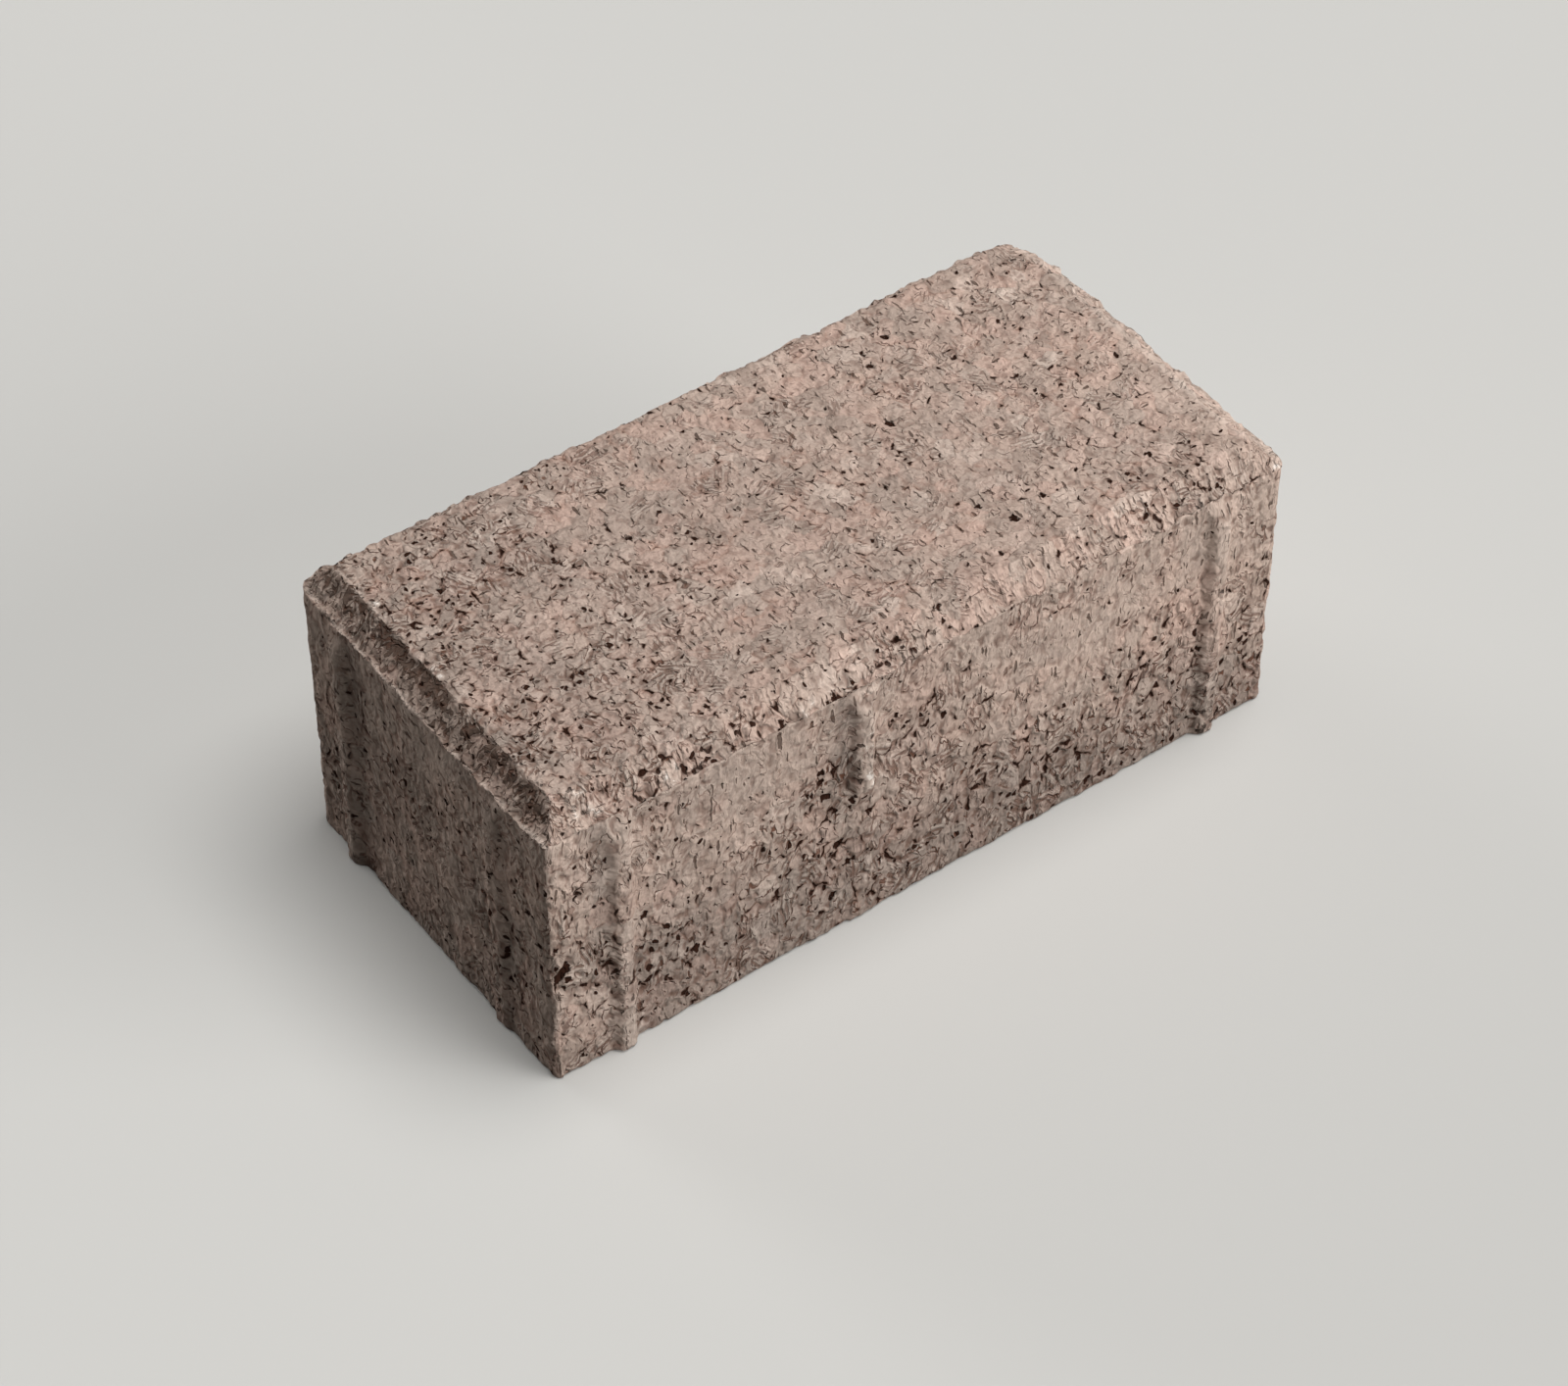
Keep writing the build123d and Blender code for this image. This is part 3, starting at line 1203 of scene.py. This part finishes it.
        return {
            Skin.TONE: np.clip(tone, 0, 1),
            Skin.BLUSH: blush * (1 - 0.6 * side - 0.7 * zones.chamfer),
            Skin.SLURRY: zones.slurry,
            Skin.COMBED: np.clip(combed, 0, 1),
            Skin.PITTED: pitted,
            Skin.HOLLOW: wear.hollows,
            Skin.TEETH: zones.chamfer * (0.5 + 0.5 * wear.patchy) * 0.9,
            Skin.ENDWISE: 1 - zones.long_edge,
            Skin.PAINTED_CHAMFER_SHADE: zones.end_chamfer * (x <= 0) * shaded,
            Skin.BURR_AND_HIGHLIGHT: self._burrs_and_highlights(grain, lattice, zones, wear),
        }

    def _burrs_and_highlights(self, grain: Grain, lattice: Lattice, zones: Zones, wear: Wear) -> np.ndarray:
        """Works out where the concrete is pale: its own lips and crumbs, and painted highlight on lit edges
        and on the right end chamfer.

        Args:
            grain: the noise.
            lattice: the smooth block.
            zones: the parts of the block.
            wear: the relief and the wear.

        Returns:
            1 on the crumbs, and less on the lip of the end chamfers, on edges and on the crests of the ribs.
        """
        points, insets, on_end = lattice.points, lattice.insets, 1 - zones.long_edge
        lip = (insets < 0.4) * (points[:, 2] > self.arris - 0.6) * on_end
        # The brow of each end chamfer is painted pale as a highlight where it catches the light.
        brow = (1 - zones.side) * on_end * np.clip(1 - abs(insets - 6.6) / 1.4, 0, 1)
        # Painted highlight on the brow and the chamfer of the right end, which face the light.
        far = 0.6 * brow + 0.4 * zones.end_chamfer * np.clip(0.5 + wear.lumps, 0, 1)
        burrs_and_highlights = lip * np.clip(0.9 + 1.5 * grain.lumps(points + 3.0, 3.2, 2), 0, 1)
        burrs_and_highlights += (points[:, 0] > 0) * far + 0.8 * brow * np.clip(wear.lumps, 0, 1)
        burrs_and_highlights += 0.6 * zones.nose * zones.long_edge * wear.patchy * wear.lumps
        # Painted highlight on the crests of the ribs.
        burrs_and_highlights += 0.55 * zones.crest * np.clip(0.6 + wear.waves, 0, 1)
        return np.maximum(np.clip(burrs_and_highlights, 0, 0.88), np.clip(3.0 * wear.crumbs, 0, 1))


@dataclass(frozen=True)
class Lamp:
    """A soft far light: where it comes from, how strong it is, and how wide it looks, in degrees."""

    name: str
    comes_from: tuple[float, float, float]
    strength: float
    spread: float

    def build(self) -> None:
        """Hangs the light in the scene."""
        data = bpy.data.lights.new(self.name, "SUN")
        data.energy = self.strength
        data.angle = math.radians(self.spread)
        lamp = bpy.data.objects.new(self.name, data)
        lamp.rotation_mode = "QUATERNION"
        lamp.rotation_quaternion = Vector(self.comes_from).to_track_quat("Z", "Y")
        bpy.context.scene.collection.objects.link(lamp)


@dataclass(frozen=True)
class Studio:
    """A plain pale floor that fills the view, a faint sky, a wide light overhead and two low ones."""

    floor_shown: Colour = (0.532, 0.524, 0.502)
    floor_glow: Colour = (0.075, 0.074, 0.071)
    floor_bounce: Colour = (0.30, 0.296, 0.285)
    floor_size: float = 6.0
    sky: float = 0.03
    lamps: tuple[Lamp, ...] = (
        Lamp("overhead_light", (0.20, -0.13, 0.97), 2.56, 40.0),
        Lamp("front_light", (0.57, -0.80, 0.17), 3.12, 45.0),
        Lamp("back_light", (-0.25, 0.95, 0.20), 1.15, 25.0),
    )

    def build(self) -> None:
        """Makes the floor, the sky and the lights."""
        self._lay_floor()
        world = bpy.data.worlds.new("sky")
        world.use_nodes = True
        world.node_tree.nodes["Background"].inputs["Color"].default_value = (1.0, 1.0, 1.0, 1.0)
        world.node_tree.nodes["Background"].inputs["Strength"].default_value = self.sky
        bpy.context.scene.world = world
        for lamp in self.lamps:
            lamp.build()
        bpy.context.scene.view_settings.view_transform = "Standard"

    def _lay_floor(self) -> None:
        """Makes the floor, which is paler and has milder shadows to the camera than to the block."""
        half = self.floor_size / 2
        mesh = bpy.data.meshes.new("floor")
        corners = [(-half, -half, 0), (half, -half, 0), (half, half, 0), (-half, half, 0)]
        mesh.from_pydata(corners, [], [(0, 1, 2, 3)])
        floor = bpy.data.objects.new("floor", mesh)
        bpy.context.scene.collection.objects.link(floor)
        board = Board("pale_floor")
        ray = board.node("ShaderNodeLightPath", {}, {}, "Is Camera Ray")
        seen = ray.most(ray.beside("Is Glossy Ray")).most(ray.beside("Is Transmission Ray"))
        colour = board.blend(seen, self.floor_bounce, self.floor_shown)
        glow = board.blend(seen, (0.0, 0.0, 0.0), self.floor_glow)
        sockets = {"Base Color": colour, "Roughness": 0.95, "Specular IOR Level": 0.0}
        sockets.update({"Emission Color": glow, "Emission Strength": 1.0})
        shader = board.node("ShaderNodeBsdfPrincipled", {}, sockets)
        board.node("ShaderNodeOutputMaterial", {}, {"Surface": shader})
        mesh.materials.append(board.material)


@dataclass(frozen=True)
class Viewpoint:
    """The camera: where it looks, from which side and height, how far off, and its lens."""

    target: tuple[float, float, float] = (-0.0135, -0.0141, 0.040)
    azimuth: float = -35.84
    elevation: float = 46.05
    distance: float = 1.007
    lens: float = 105.4

    def build(self) -> None:
        """Sets up the camera and makes it the scene's own."""
        turn, rise = math.radians(self.azimuth), math.radians(self.elevation)
        back = Vector((math.sin(turn) * math.cos(rise), -math.cos(turn) * math.cos(rise), math.sin(rise)))
        data = bpy.data.cameras.new("camera")
        data.lens = self.lens
        data.sensor_width = 36.0
        data.clip_start = 0.01
        camera = bpy.data.objects.new("camera", data)
        camera.location = Vector(self.target) + back * self.distance
        camera.rotation_mode = "QUATERNION"
        camera.rotation_quaternion = back.to_track_quat("Z", "Y")
        bpy.context.scene.collection.objects.link(camera)
        bpy.context.scene.camera = camera


def main() -> None:
    """Builds the block, the studio and the camera in order."""
    logging.basicConfig(level=logging.INFO, format="%(name)s: %(message)s")
    paver = Paver()
    skin = paver.build()
    paver.dress(skin, ConcreteFinish())
    LOG.info("%s: %d points, %d faces", skin.name, len(skin.data.vertices), len(skin.data.polygons))
    Studio().build()
    Viewpoint().build()


if __name__ == "__main__":
    main()
